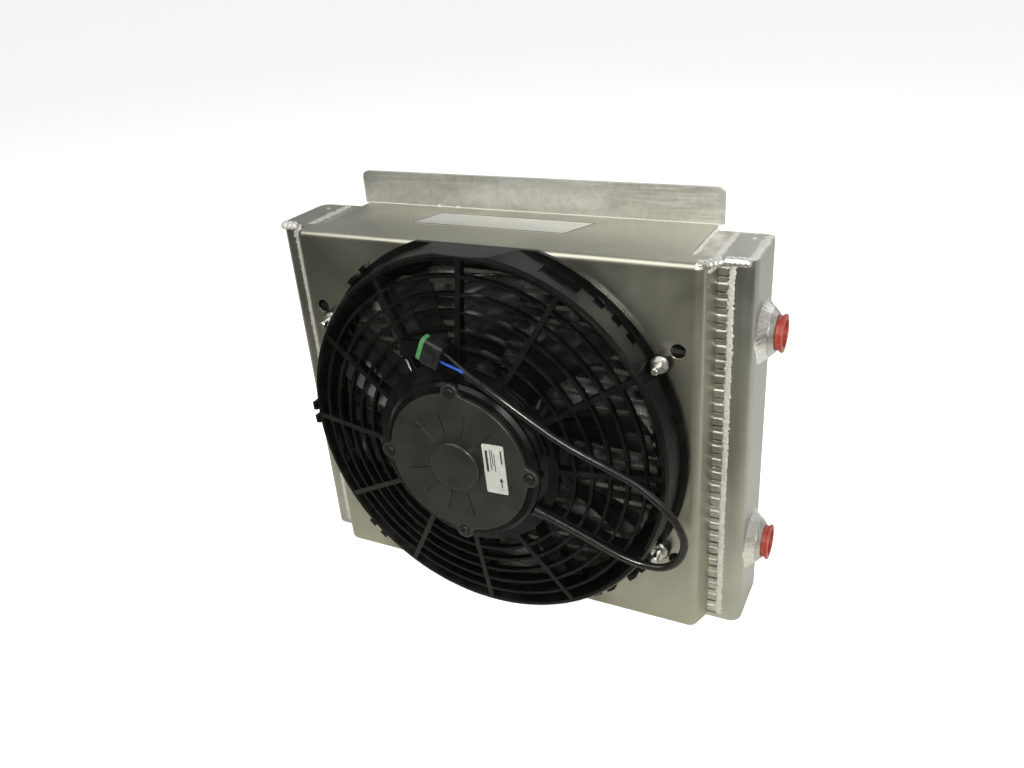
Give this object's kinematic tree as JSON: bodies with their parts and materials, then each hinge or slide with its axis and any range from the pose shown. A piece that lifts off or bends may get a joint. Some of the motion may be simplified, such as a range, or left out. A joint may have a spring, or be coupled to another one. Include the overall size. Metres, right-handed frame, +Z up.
{
  "type": "hydraulic oil cooler",
  "caption": "Welded aluminium hydraulic oil cooler: bar-and-plate core, two side tanks, sheet shroud and a guarded electric fan, with side ports under plugs.",
  "frame": {"origin": "on the base's underside, mid-width of the tanks and mid-depth of the core", "axes": "+X towards the side with the two oil ports, +Y towards the air inlet at the back, +Z up"},
  "size_m": [0.4527, 0.1705, 0.366],
  "materials": {
    "core_aluminium": "brazed, matt, slightly granular",
    "fin_aluminium": "thin bright folded strip",
    "tank_aluminium": "satin plate",
    "boss_aluminium": "machined, welded in",
    "shroud_aluminium": "satin rolled sheet",
    "flange_aluminium": "mottled mill finish with scratches",
    "plug_red": "soft red polythene",
    "label_foil": "silver foil label with a thin dark outline",
    "fan_plastic": "moulded black, fine grain",
    "impeller_plastic": "glossy black",
    "motor_paint": "dark satin coating",
    "black_steel": "black oxide",
    "label_white": "plain paper-white label",
    "magnet_ferrite": "sintered, dull",
    "rotor_iron": "stacked sheet",
    "copper": "enamelled copper",
    "brush_plate_plastic": "phenolic",
    "carbon": "pressed carbon",
    "shaft_steel": "ground",
    "bearing_bronze": "sintered bronze",
    "zinc_steel": "bright zinc plate",
    "cable_sheath": "smooth black sheath",
    "wire_blue": "blue insulation",
    "wire_black": "black insulation",
    "connector_plastic": "moulded black",
    "seal_green": "soft green silicone"
  },
  "bodies": {
    "cooler": {"oil_tubes": "core_aluminium", "oil_turbulators": "core_aluminium", "air_fins": "fin_aluminium", "core_end_bars_left": "core_aluminium", "core_end_bars_right": "core_aluminium", "core_top_plate": "core_aluminium", "core_bottom_plate": "core_aluminium", "right_tank_shell": "tank_aluminium", "left_tank_shell": "tank_aluminium", "right_tank_top_cap": "tank_aluminium", "right_tank_bottom_cap": "tank_aluminium", "left_tank_top_cap": "tank_aluminium", "left_tank_bottom_cap": "tank_aluminium", "tank_baffle": "tank_aluminium", "port_boss_lower": "boss_aluminium", "port_boss_upper": "boss_aluminium", "fan_shroud": "shroud_aluminium", "mount_flange": "flange_aluminium", "top_label": "label_foil", "fan_housing": "fan_plastic", "fan_guard": "fan_plastic", "motor_can": "motor_paint", "motor_cover": "motor_paint", "cover_screws": "black_steel", "motor_label": "label_white", "motor_magnets": "magnet_ferrite", "brush_plate": "brush_plate_plastic", "motor_brushes": "carbon", "front_bearing": "bearing_bronze", "rear_bearing": "bearing_bronze", "fan_bolts": "zinc_steel", "fan_washers": "zinc_steel", "fan_nuts": "zinc_steel", "motor_cable": "cable_sheath", "cable_grommet": "cable_sheath", "blue_wire": "wire_blue", "black_wire": "wire_black", "connector_body": "connector_plastic", "connector_seal": "seal_green"},
    "rotor": {"impeller": "impeller_plastic", "impeller_nut": "zinc_steel", "motor_shaft": "shaft_steel", "armature_core": "rotor_iron", "armature_windings": "copper", "commutator": "copper"},
    "lower_plug": {"port_plug_lower": "plug_red"},
    "upper_plug": {"port_plug_upper": "plug_red"}
  },
  "joints": [
    {"name": "fan_spin", "type": "hinge", "parent": "cooler", "child": "rotor", "pos_m": [0, -0.054, 0.169], "axis": [0, 1, 0], "continuous": true},
    {"name": "port_plug_lower_pull", "type": "slide", "parent": "cooler", "child": "lower_plug", "axis": [1, 0, 0], "range_m": [0, 0.04]},
    {"name": "port_plug_upper_pull", "type": "slide", "parent": "cooler", "child": "upper_plug", "axis": [1, 0, 0], "range_m": [0, 0.04]}
  ]
}
